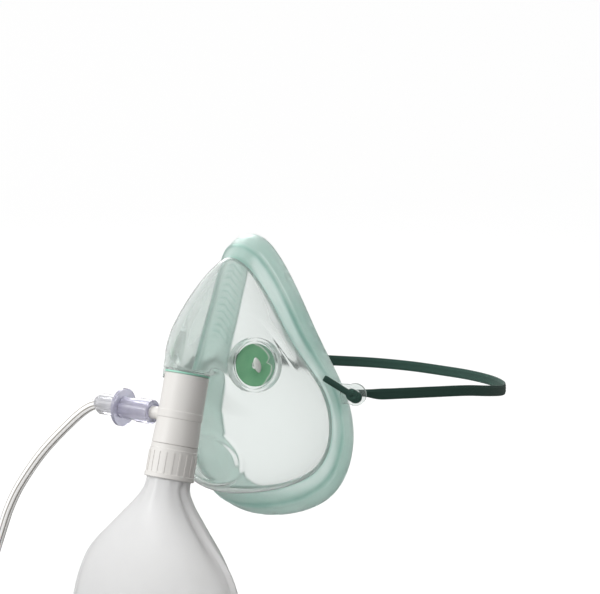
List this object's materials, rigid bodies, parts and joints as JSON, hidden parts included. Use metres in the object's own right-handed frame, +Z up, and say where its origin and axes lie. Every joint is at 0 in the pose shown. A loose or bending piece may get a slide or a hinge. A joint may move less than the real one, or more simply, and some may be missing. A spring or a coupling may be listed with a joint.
{
  "type": "oxygen mask with reservoir bag",
  "caption": "Clear face mask with a soft green seal, side exhalation flaps, a swivelling valve housing, a reservoir bag, an elastic head strap and a coiled oxygen tube.",
  "frame": {"origin": "centre of the face opening of the mask, between nose bridge and chin", "axes": "+Z up, -Y the way the wearer looks, +X the wearer's left; the face leaves along +Y"},
  "size_m": [0.21, 0.2834, 0.3351],
  "materials": {
    "clear_shell": "clear polypropylene, glossy",
    "seal_green": "translucent soft elastomer, satin",
    "flap_green": "smooth silicone",
    "flap_clear": "smooth silicone",
    "elastic_green": "ribbed braided elastic",
    "housing_white": "satin moulded plastic",
    "bag_film": "thin milky film",
    "cuff_lavender": "soft translucent vinyl",
    "tube_clear": "clear star-lumen vinyl",
    "tie_white": "matt band"
  },
  "bodies": {
    "mask": {"mask_shell": "clear_shell", "face_seal": "seal_green", "port_spigot": "clear_shell", "port_ring": "seal_green", "exhalation_seat_left": "clear_shell", "exhalation_seat_right": "clear_shell", "flap_pin_left": "clear_shell", "flap_pin_right": "clear_shell", "strap_lug_left": "clear_shell", "strap_lug_right": "clear_shell", "strap_end_left": "elastic_green", "strap_end_right": "elastic_green"},
    "flap_left": {"exhalation_flap_left": "flap_green"},
    "flap_right": {"exhalation_flap_right": "flap_green"},
    "strap": {"head_strap": "elastic_green"},
    "housing": {"valve_housing": "housing_white", "inlet_seat": "housing_white", "inlet_flap_pin": "housing_white", "bag_collar": "housing_white", "bag_neck": "bag_film"},
    "inlet": {"inlet_flap": "flap_clear"},
    "bag": {"reservoir_bag": "bag_film"},
    "cuff": {"tube_cuff": "cuff_lavender"},
    "line": {"tube_sleeve": "tube_clear", "oxygen_tube": "tube_clear", "tube_coil": "tube_clear", "coil_tie": "tie_white", "supply_connector": "cuff_lavender"}
  },
  "joints": [
    {"name": "housing_swivel", "type": "hinge", "parent": "mask", "child": "housing", "pos_m": [0, -0.063, 0.0155], "axis": [0, 0.309, 0.9511], "range_deg": [-30, 200]},
    {"name": "bag_swing", "type": "hinge", "parent": "housing", "child": "bag", "pos_m": [0, -0.07876, -0.033], "axis": [1, 0, 0], "range_deg": [-15, 30], "stiffness_Nm_per_rad": 0.05},
    {"name": "flap_left_lift", "type": "slide", "parent": "mask", "child": "flap_left", "axis": [0.8501, -0.4908, 0.1908], "range_m": [0, 0.0011], "stiffness_N_per_m": 10, "springref_m": -0.002},
    {"name": "flap_right_lift", "type": "slide", "parent": "mask", "child": "flap_right", "axis": [-0.8501, -0.4908, 0.1908], "range_m": [0, 0.0011], "stiffness_N_per_m": 10, "springref_m": -0.002},
    {"name": "inlet_lift", "type": "slide", "parent": "housing", "child": "inlet", "axis": [0, 0.309, 0.9511], "range_m": [0, 0.0011], "stiffness_N_per_m": 10, "springref_m": -0.002},
    {"name": "cuff_pull", "type": "slide", "parent": "housing", "child": "cuff", "axis": [-1, 0, 0], "range_m": [0, 0.018]},
    {"name": "line_turn", "type": "hinge", "parent": "cuff", "child": "line", "pos_m": [-0.037, -0.06933, -0.004], "axis": [1, 0, 0], "range_deg": [-40, 40]},
    {"name": "strap_swing", "type": "hinge", "parent": "mask", "child": "strap", "pos_m": [0, 0.0116, -0.002], "axis": [1, 0, 0], "range_deg": [-20, 45]}
  ]
}
